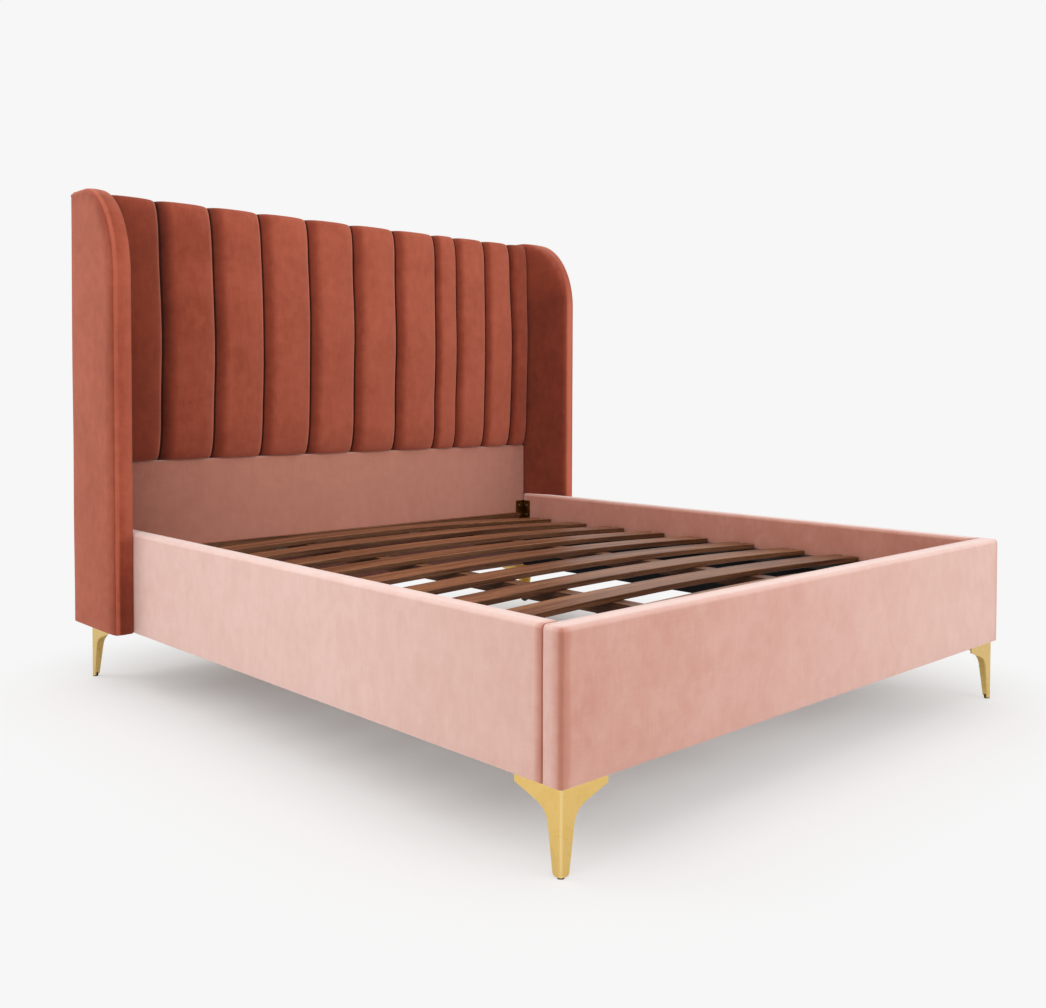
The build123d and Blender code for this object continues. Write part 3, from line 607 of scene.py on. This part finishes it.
def channel_pad(name, number):
    """Crowned pad between two seams: its side view carried across, with small gathers at the lower seam."""
    left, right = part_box(name)[0].x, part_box(name)[1].x
    across = np.sin(np.linspace(-math.pi / 2, math.pi / 2, 53))
    fullness = np.clip(1 - np.abs(across) ** crown_power, 0, 1) ** crown_fullness
    y, z = channel_profile(fullness)
    x = (left + right) / 2 + (right - left) / 2 * across[:, None] + 0 * y
    points = np.stack([x, y, z], -1).reshape(-1, 3)
    count = y.shape[1]
    shown = np.clip((pad_back - points[:, 1]) / shell_fade, 0, 1)
    points[:, 1] += gathers(points, name, number) * shown
    points[:, 1] += ripple(points, *channel_ripple, 30 + number) * shown * np.repeat(fullness, count)
    points = wandering_seams(points, shown)
    painted_light = channel_light_and_shade(name, np.repeat(across, count), points[:, 2])
    quads = grid_quads(len(across), count, wrap=True)
    caps = [np.arange(count), (len(across) - 1) * count + np.arange(count)[::-1]]
    mesh = add_mesh(name, points, quads, caps, painted_light)
    weld(mesh)
    piece = add_piece(name + "_velvet", mesh, terracotta, [name])


# Rails and the plain panel


def rail_light_and_shade(points, low, high, outside, kind):
    """Painted light and shade of a rail's sleeve: painted light on the outer face, a painted highlight on the top,
    and painted shade on the inner face, along the near corner, and along the seam where a side rail meets the foot
    rail."""
    across, along, height = np.abs(points[:, 0]), points[:, 1], points[:, 2]
    inner, outer = rail_painted_light["inner"], rail_painted_light[kind]
    painted_light = inner + (outer - inner) * smooth(outside, 0, rail_turn)
    if kind == "foot":
        leftwards = smooth(-points[:, 0], -high[0], high[0])
        painted_light -= foot_rail_slant * leftwards * smooth(outside, *rail_outer)
        into_seam = 1 - smooth(high[1] - along, *strip_edge[::-1])
        painted_light += strip_edge_painted_light * into_seam * (across > high[0] - strip_face)
        off_corner = np.hypot(high[0] - across, along - low[1])
    else:
        amount, length, start = side_rail_light_wave
        painted_light += amount * np.cos(2 * np.pi * (along + start) / length) * (outside > sum(rail_outer) / 2)
        off_corner = along - low[1]
    painted_light -= rail_corner_shade[kind] * np.exp(-((off_corner / corner_shade_width) ** 2))
    return painted_light + rail_top_painted_light * smooth(height, rail_top - rail_edge, rail_top - rail_edge / 2)


def padded_rail(name, edges, seed):
    """Velvet sleeve over a rail: rounded edges, faces that swell a little and a gentle unevenness, but flat
    behind the lining."""
    low, high = (np.array(corner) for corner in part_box(name))
    points, quads = soft_box(low, high, edges, 20 * mm)
    kind = "foot" if name.startswith("foot") else "side"
    thin = 1 if kind == "foot" else 0
    points = swell(points, thin, low, high, rail_crown)
    middle = (low[thin] + high[thin]) / 2
    outwards = np.sign(points[:, thin] - middle)
    points[:, thin] += outwards * ripple(points, *rail_ripple, seed)
    outside = np.abs(points[:, thin]) - np.abs([low[thin], high[thin]]).min()
    lining_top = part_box("rail_linings")[1].z
    lined = 1 - smooth(points[:, 2], lining_top, lining_top + lining_fade)
    points[:, thin] -= np.sign(middle) * np.minimum(outside, 0) * lined
    painted_light = rail_light_and_shade(points, low, high, outside, kind)
    mesh = add_mesh(name, points, quads, painted_light=painted_light)
    weld(mesh)
    piece = add_piece(name.replace("cover", "velvet"), mesh, blush, [name])


def lower_panel():
    """Plain padded panel between the wings, with its hidden cheek beside the right rail's end. It is painted in
    shade, more beside the wings and between the slats."""
    low, high = (np.array(corner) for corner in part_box("lower_panel_pad"))
    edges = (panel_edge,) * 3
    wide_high = np.array([seam_span, high[1], high[2]])
    points, quads = soft_box(low, wide_high, edges, 18 * mm)
    points = swell(points, 1, low, wide_high, panel_crown)
    front = points[:, 1] < (low[1] + high[1]) / 2
    points[:, 1] += ripple(points, *panel_ripple, 7) * front
    points[:, 1] = np.minimum(points[:, 1], high[1])
    cheek, some = soft_box((seam_span, low[1], low[2]), (high[0], high[1], rail_top), edges, 20 * mm)
    points = np.concatenate([points, cheek])
    painted_light = panel_painted_light - fading(points[:, 0] - low[0], *panel_left_shade)
    painted_light -= fading(seam_span - points[:, 0], *panel_right_shade)
    less, bottom, top = panel_low_shade
    painted_light -= less * (1 - smooth(points[:, 2], rail_top - bottom, rail_top - top))
    mesh = add_mesh("lower_panel", points, np.concatenate([quads, some + len(points)]), painted_light=painted_light)
    weld(mesh)
    piece = add_piece("lower_panel_velvet", mesh, blush, ["lower_panel_pad"])


# Wings


def wing_inner_face(y, z, flare):
    """Inner face of a wing: plain beside the rail, thicker by the flare towards the channels above it."""
    start = low_wing.y + wing_inner_edge
    ramp = np.clip((y - start) / (seam_plane - start), 0, 1)
    ramp = np.where((y > pad_back + soft_gap) & (z < top_rail_high.z + soft_gap), 0, ramp)
    return wing_inner - flare * np.where(z > rail_top + soft_gap / 2, ramp, 0)


def wing_edge_section():
    """Section across a wing's edge as rows of (share of the band, offset from its end, depth): a quarter round
    inside, a low arch, a rim that rolls into the seam, and the side swelling out of it as a quarter ellipse."""
    turn = np.linspace(0, math.pi / 2, 8)
    inner = np.stack([0 * turn, wing_inner_edge * (1 - np.cos(turn)), wing_inner_edge * (1 - np.sin(turn))], 1)
    share = np.linspace(0, 1, 7)[1:-1]
    band = np.stack([share, wing_inner_edge * (1 - share), -wing_band_crown * np.sin(np.pi * share)], 1)
    seam = wing_side_inset
    rim = np.stack([1 + 0 * turn, -seam - wing_rim * (1 - np.sin(turn)), wing_rim_depth * (1 - np.cos(turn))], 1)
    depth = wing_rim_depth + wing_side_roll * (1 - np.cos(turn))
    side = np.stack([1 + 0 * turn, -seam * (1 - np.sin(turn)), depth], 1)[1:]
    band[:, 1] -= (seam + wing_rim) * share
    return np.concatenate([inner, band, rim, side])


def wing_rows():
    """The path of a wing's edge: heights up the front, then a quarter of the corner's ellipse, then places
    along the top. Returns the heights, the places, and for every row its angle on the ellipse and how far it
    has slid off it along Y and Z."""
    upright = np.concatenate([
        low_wing.z + wing_bottom_edge * (1 - np.cos(np.linspace(0, math.pi / 2, 6))),
        np.linspace(low_wing.z + 3 * wing_bottom_edge, rail_top - 10 * mm, 14),
        [rail_top, rail_top + soft_gap],
        np.linspace(rail_top + 14 * mm, wing_centre[1], 36),
    ])
    rear = high_wing.y - wing_rear_edge
    level = np.concatenate([
        [pad_back + 2 * soft_gap],
        np.linspace(pad_back + 15 * mm, rear, 4),
        rear + wing_rear_edge * np.sin(np.linspace(0.2, math.pi / 2, 5)),
    ])
    turn = np.linspace(0, math.pi / 2, 40)[1:]
    angle = np.concatenate([0 * upright, turn, 0 * level + math.pi / 2])
    slide = np.zeros((len(angle), 2))
    slide[: len(upright), 1] = upright - wing_centre[1]
    slide[-len(level) :, 0] = level - wing_centre[0]
    return upright, level, angle, slide


def wing_shell(angle, slide, flare):
    """Grid of points round a wing's edge, with each point's share of the band and its depth behind the edge.
    A row runs from the inner face over the band and its rim to the side, and a point lies on an ellipse that
    is smaller than the corner's by its depth."""
    section = wing_edge_section()
    inwards = np.array(wing_inward_steps)
    reach = wing_inner_edge + (wing_radii.min() - wing_inner_edge) * inwards[::-1]
    share = np.concatenate([0 * reach, section[:, 0], 1 + 0 * inwards])[None, :]
    offset = np.concatenate([0 * reach, section[:, 1], 0 * inwards])[None, :]
    roll = (wing_side_roll + (wing_top_roll - wing_side_roll) * np.sin(angle))[:, None]
    beyond = np.maximum(section[:, 2] - wing_rim_depth, 0)[None, :] / wing_side_roll
    rolled = np.minimum(section[:, 2], wing_rim_depth)[None, :] + beyond * roll
    edge_depth = np.where(section[:, 0] < 1, section[:, 2], rolled)
    side_start = wing_rim_depth + roll
    side_depth = side_start + (wing_radii.min() - side_start) * inwards
    depth = np.concatenate([reach + 0 * roll, edge_depth, side_depth], 1)
    shrink = np.where(depth > side_start, depth * wing_radii[1] / wing_radii[0], depth)
    y = wing_centre[0] + slide[:, :1] - (wing_radii[0] - depth) * np.cos(angle)[:, None]
    z = wing_centre[1] + slide[:, 1:] + (wing_radii[1] - shrink) * np.sin(angle)[:, None]
    inner = wing_inner_face(y, z, flare)
    x = inner + (high_wing.x - inner) * share + offset
    return np.stack([x, y, z], -1), share + 0 * x, depth


def wing_grids(flare):
    """The grids of a wing's cover, each as points, shares of the band and depths: the shell round the edge,
    the flat of the inner face behind it, the flat of the side, and the back that joins the two."""
    upright, level, angle, slide = wing_rows()
    y, z = np.meshgrid(np.concatenate([wing_centre[:1], level]), upright)
    inner = np.stack([wing_inner_face(y, z, flare), y, z], -1)
    outer = np.stack([np.full(y.shape, high_wing.x), y, z], -1)
    back = np.stack([inner[:, -1], outer[:, -1]], 1)
    grids = [wing_shell(angle, slide, flare)]
    for grid, share in ((inner, 0), (outer, 1), (back, (0, 1))):
        grids.append((grid, np.broadcast_to(share, grid.shape[:2]), np.ones(grid.shape[:2])))
    return grids


def finish_wing_faces(points):
    """Rounds a wing's bottom and rear edges by quarter circles, and swells and ripples its side, which is all
    that lies within a millimetre of its outer face."""
    bottom, top, front, back = low_wing.z, high_wing.z, low_wing.y, high_wing.y
    outside = np.clip((points[:, 0] - high_wing.x + 1 * mm) / (1 * mm), 0, 1)
    bend = np.clip(1 - (points[:, 2] - bottom) / wing_bottom_edge, 0, 1)
    inset = wing_bottom_edge * (1 - np.sqrt(1 - bend**2))
    points[:, 0] -= np.sign(points[:, 0] - (wing_inner + high_wing.x) / 2) * inset
    points[:, 1] += inset * (points[:, 1] < front + wing_rim_depth)
    bend = np.clip(1 - (back - points[:, 1]) / wing_rear_edge, 0, 1)
    points[:, 0] -= outside * wing_rear_edge * (1 - np.sqrt(1 - bend**2))
    across = np.clip((points[:, 1] - front) / (back - front), 0, 1)
    up = np.clip((points[:, 2] - bottom) / (top - bottom), 0, 1)
    points[:, 0] += outside * wing_side_swell * (1 - (2 * across - 1) ** 2) * (1 - (2 * up - 1) ** 6)
    points[:, 0] += outside * ripple(points, *wing_ripple, 11)
    return points


def wing_light_and_shade(side, points, shares, depths):
    """Painted light and shade of a wing: painted shade on the inner face, on the side beside the seam and low down,
    painted light on the band with a painted highlight on its rim, and more painted light and shade round the corner."""
    inner_face = shares == 0
    painted_light = np.interp(shares, (0, 0.15, 0.9, 1), [wing_painted_light[part] for part in ("inner", side, side, "side")])
    if side == "left":
        painted_light += np.interp(shares, (0, 0.05, 0.9, 1), (0, *wing_band_slant, 0))
        painted_light += (wing_painted_light["left"] - wing_painted_light["inner"]) * inner_face * (1 - smooth(depths, 0, wing_inner_edge))
    else:
        painted_light -= wing_band_shade * (1 - smooth(shares, 0, 0.5)) * ~inner_face
    painted_light += fading(depths, *wing_fold_painted_light) * inner_face
    on_side = (shares == 1) & (depths >= wing_rim_depth)
    crease = 1 - smooth(depths, wing_rim_depth, wing_rim_depth + 1.1 * wing_side_roll)
    painted_light += np.where(on_side, -wing_crease_shade * crease, wing_rim_painted_light * smooth(shares, 0.8, 1))
    below, above = wing_low_heights
    low_down = 1 - smooth(points[:, 2], rail_top - below, rail_top + above)
    painted_light -= wing_low_shade * low_down * (shares < 1) * (points[:, 1] < low_wing.y + wing_low_depth)
    round_corner = smooth(points[:, 2], wing_centre[1], wing_centre[1] + wing_corner_fade) * (shares < 1)
    return painted_light + round_corner * np.where(inner_face, *wing_corner_painted_light[side])


def wing(side, flare):
    """Velvet cover of a wing, joined from its grids. The left one is a mirror image with a flare of its own."""
    name = "wing_cover_" + side
    grids = wing_grids(flare)
    quads, count = [], 0
    for grid, _, _ in grids:
        quads.append(grid_quads(*grid.shape[:2], first=count))
        count += grid.size // 3
    points = finish_wing_faces(np.concatenate([grid.reshape(-1, 3) for grid, _, _ in grids]))
    shares = np.concatenate([share.ravel() for _, share, _ in grids])
    depths = np.concatenate([depth.ravel() for _, _, depth in grids])
    painted_light = wing_light_and_shade(side, points, shares, depths)
    if side == "left":
        points[:, 0] *= -1
    mesh = add_mesh(name, points, np.concatenate(quads), painted_light=painted_light)
    weld(mesh, loose=0.05 * mm)
    piece = add_piece(name.replace("cover", "velvet"), mesh, terracotta, [name], sharp=60)


# Linings


def cloth_mesh(name, grid, thickness):
    """Thin closed sheet: a grid of points, the same grid set back by a thickness, and a rim that joins them."""
    rows, columns = grid.shape[:2]
    count = rows * columns
    flat = grid.reshape(-1, 3)
    ring = np.concatenate([
        np.arange(columns),
        np.arange(1, rows) * columns + columns - 1,
        (rows - 1) * columns + np.arange(columns - 1)[::-1],
        np.arange(1, rows - 1)[::-1] * columns,
    ])
    following = np.roll(ring, -1)
    rim = np.stack([ring, ring + count, following + count, following], -1)
    quads = [grid_quads(rows, columns), grid_quads(rows, columns, first=count)[:, ::-1], rim]
    mesh = add_mesh(name, np.concatenate([flat, flat + thickness]), np.concatenate(quads))
    weld(mesh)
    return mesh


def back_lining():
    """Lining stretched over the open back, which sinks a little between the timbers."""
    name = "headboard_back_cloth"
    low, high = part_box(name)
    timber, run = 70 * mm, 90 * mm  # width of the timbers, and how far from them the cloth reaches its depth
    depth, unevenness, thickness = 1.2 * mm, (250 * mm, 0.9 * mm), 0.5 * mm
    x, z = np.meshgrid(np.linspace(low.x, high.x, 160), np.linspace(low.z, high.z, 120))
    grid = np.stack([x, np.full(x.shape, high.y), z], -1)
    rail_low, rail_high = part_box("headboard_mid_rail")
    to_edge = np.minimum(np.minimum(x - low.x, high.x - x), np.minimum(z - low.z, high.z - z))
    off_rail = np.maximum(rail_low.z - z, z - rail_high.z)
    sink = np.clip((to_edge - timber) / run, 0, 1) * np.clip(off_rail / run, 0, 1)
    grid[..., 1] -= (depth + ripple(grid, *unevenness, 5)) * sink
    mesh = cloth_mesh(name, grid, np.array([0, -thickness, 0]))
    piece = add_piece("headboard_back_lining", mesh, lining, [name])


def rail_lining(side):
    """Black lining on the inner face of a rail below the cleats, with a slight ripple."""
    low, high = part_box("rail_linings")
    thickness, slack, unevenness = 0.5 * mm, 0.15 * mm, (120 * mm, 0.25 * mm)
    level = np.linspace(low.z, high.z, 20)
    if side == "foot":
        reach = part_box("side_cleat_right")[0].x
        x, z = np.meshgrid(np.linspace(-reach, reach, 180), level)
        y, inwards = np.full(x.shape, low.y), np.array([0.0, 1, 0])
    else:
        y, z = np.meshgrid(np.linspace(low.y, high.y, 200), level)
        sign = 1 if side == "right" else -1
        x, inwards = np.full(y.shape, sign * high.x), np.array([-sign, 0.0, 0])
    grid = np.stack([x, y, z], -1)
    grid += (slack + np.abs(ripple(grid, *unevenness, 3)))[..., None] * inwards
    mesh = cloth_mesh("rail_lining_" + side, grid, thickness * inwards)
    piece = add_piece("rail_lining_" + side, mesh, lining, ["rail_linings"])


def staples():
    """Wire staples round the lining, each a small flat bar that leans a little at random and sinks partly into the
    cloth.
    """
    low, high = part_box("headboard_back_cloth")
    inset, spacing, length, wire = 12 * mm, 48 * mm, 10 * mm, 1.1 * mm
    most_lean = 0.12  # sideways for each unit of length
    across = np.arange(low.x + inset, high.x - inset, spacing)
    upright = np.arange(low.z + inset + spacing, high.z - inset - spacing / 2, spacing)
    places = [(x, z, 0) for z in (low.z + inset, high.z - inset) for x in across]
    places += [(x, z, 1) for x in (low.x + inset, high.x - inset) for z in upright]
    box = np.array([[x, y, z] for x in (-0.5, 0.5) for y in (-1, 0.35) for z in (-0.5, 0.5)])
    faces = np.array([[0, 1, 3, 2], [4, 6, 7, 5], [0, 4, 5, 1], [2, 3, 7, 6], [0, 2, 6, 4], [1, 5, 7, 3]])
    draw = np.random.default_rng(12)
    points, quads = [], []
    for x, z, upright_one in places:
        size = (length, 1.6 * wire, wire) if not upright_one else (wire, 1.6 * wire, length)
        lean = draw.uniform(-most_lean, most_lean)
        one = box * size
        turned = np.stack([one[:, 0] + lean * one[:, 2], one[:, 1], one[:, 2] - lean * one[:, 0]], -1)
        quads.append(faces + 8 * len(points))
        points.append(turned + (x, high.y, z))
    mesh = add_mesh("lining_staples", np.concatenate(points), np.concatenate(quads))
    weld(mesh, distance=0.001 * mm)
    add_piece("lining_staples", mesh, steel, [], sharp=30)


# Floor, light and camera

backdrop_colour = "#F7F7F7"


def studio_floor():
    """Pale floor that keeps the bed's shadow and, for the camera alone, turns into the backdrop's colour within
    a metre of that shadow's core."""
    reach = 30
    shadow_corner = high_corner - 450 * mm
    corners = [(-reach, -reach, 0), (reach, -reach, 0), (reach, reach, 0), (-reach, reach, 0)]
    mesh = add_mesh("floor", corners, [(0, 1, 2, 3)])
    floor = add_object("floor", mesh)
    # the floor's slight warmth is painted: it stands in for warm light bounced from the velvet into the shadow
    values = {"Base_Color": linear("#E5E2E0"), "Roughness": 0.9, "Specular_IOR_Level": 0.1}
    material, tree, shader, place = new_material("studio_floor", **values)
    away = node(tree, "ShaderNodeVectorMath", {0: place}, operation="ABSOLUTE").outputs[0]
    away = node(tree, "ShaderNodeVectorMath", {0: away, 1: shadow_corner}, operation="SUBTRACT").outputs[0]
    away = node(tree, "ShaderNodeVectorMath", {0: away, 1: (0, 0, 0)}, operation="MAXIMUM").outputs[0]
    away = node(tree, "ShaderNodeVectorMath", {0: away}, operation="LENGTH").outputs["Value"]
    far = node(tree, "ShaderNodeMapRange", {"Value": away}, interpolation_type="SMOOTHSTEP").outputs[0]
    seen = node(tree, "ShaderNodeLightPath").outputs["Is Camera Ray"]
    share = node(tree, "ShaderNodeMath", {0: far, 1: seen}, operation="MULTIPLY").outputs[0]
    glow = node(tree, "ShaderNodeEmission", {"Color": linear(backdrop_colour), "Strength": 1.0}).outputs[0]
    mixed = node(tree, "ShaderNodeMixShader", {0: share, 1: shader.outputs[0], 2: glow}).outputs[0]
    tree.links.new(mixed, tree.nodes["Material Output"].inputs["Surface"])
    mesh.materials.append(material)


def studio_sky():
    """Even white light from all round, seen as the pale backdrop by the camera and in gloss."""
    world = bpy.data.worlds.new("studio")
    bpy.context.scene.world = world
    world.use_nodes = True
    tree = world.node_tree
    path = node(tree, "ShaderNodeLightPath").outputs
    rays = {0: path["Is Camera Ray"], 1: path["Is Glossy Ray"]}
    shown = node(tree, "ShaderNodeMath", rays, operation="MAXIMUM").outputs[0]
    light = node(tree, "ShaderNodeBackground", {"Color": linear("#FFFFFF"), "Strength": 0.64}).outputs[0]
    backdrop = node(tree, "ShaderNodeBackground", {"Color": linear(backdrop_colour), "Strength": 1.0}).outputs[0]
    mixed = node(tree, "ShaderNodeMixShader", {0: shown, 1: light, 2: backdrop}).outputs[0]
    tree.links.new(mixed, tree.nodes["World Output"].inputs["Surface"])


def studio_lamps():
    """Broad soft lamps, each with its place, its aim, its width and its power."""
    lamps = [
        ("overhead_lamp", (-0.8, -1.0, 4.2), (-0.2, 0, 0), 3.6, 66),
        ("left_lamp", (-4.6, -1.0, 2.8), (-0.6, 0.2, 0.5), 2.6, 30),
        ("front_lamp", (1.0, -4.6, 1.5), (0.3, 0, 0.2), 2.6, 51),
        ("back_lamp", (-3.6, 4.0, 3.6), (-1.6, 1.0, 0), 2.6, 80),
    ]
    for name, place, aim, size, power in lamps:
        lamp = bpy.data.lights.new(name, "AREA")
        lamp.shape, lamp.size, lamp.energy = "SQUARE", size, power
        holder = add_object(name, lamp)
        holder.location = place
        towards = np.array(aim) - np.array(place)
        flat = math.hypot(towards[0], towards[1])
        holder.rotation_euler = (math.pi / 2 + math.atan2(towards[2], flat), 0, math.atan2(-towards[0], towards[1]))


def camera():
    """The photograph's view, solved from the bed's own corners."""
    image_width, image_height = 1046, 1008
    focal_pixels, centre_x, centre_y = 1114.7, 534.0, 426.05
    yaw, pitch, roll = 0.7613, -0.032, -0.0034
    lens = bpy.data.cameras.new("photo_camera")
    lens.sensor_width = 36
    lens.lens = focal_pixels * lens.sensor_width / image_width
    lens.shift_x = (image_width / 2 - centre_x) / image_width
    lens.shift_y = (centre_y - image_height / 2) / image_width
    lens.clip_end = 100
    holder = add_object("photo_camera", lens)
    holder.location = (-2.4402, -2.5873, 0.9444)
    holder.rotation_euler = (math.pi / 2 + pitch, roll, -yaw)
    bpy.context.scene.camera = holder


dress_solids()
for number, pad in enumerate(pad_names):
    channel_pad(pad, number)
upright_edges = (rail_bottom_edge, rail_edge)
padded_rail("foot_rail_cover", (rail_end_edge, (rail_edge, rail_strip_edge), upright_edges), 1)
padded_rail("side_rail_cover_left", (rail_edge, rail_seam_edge, upright_edges), 2)
padded_rail("side_rail_cover_right", (rail_edge, rail_seam_edge, upright_edges), 3)
lower_panel()
wing("left", 0.0)
wing("right", wing_flare)
back_lining()
for side in ("left", "right", "foot"):
    rail_lining(side)
staples()
studio_floor()
studio_sky()
studio_lamps()
camera()
bpy.context.scene.view_settings.view_transform = "Standard"
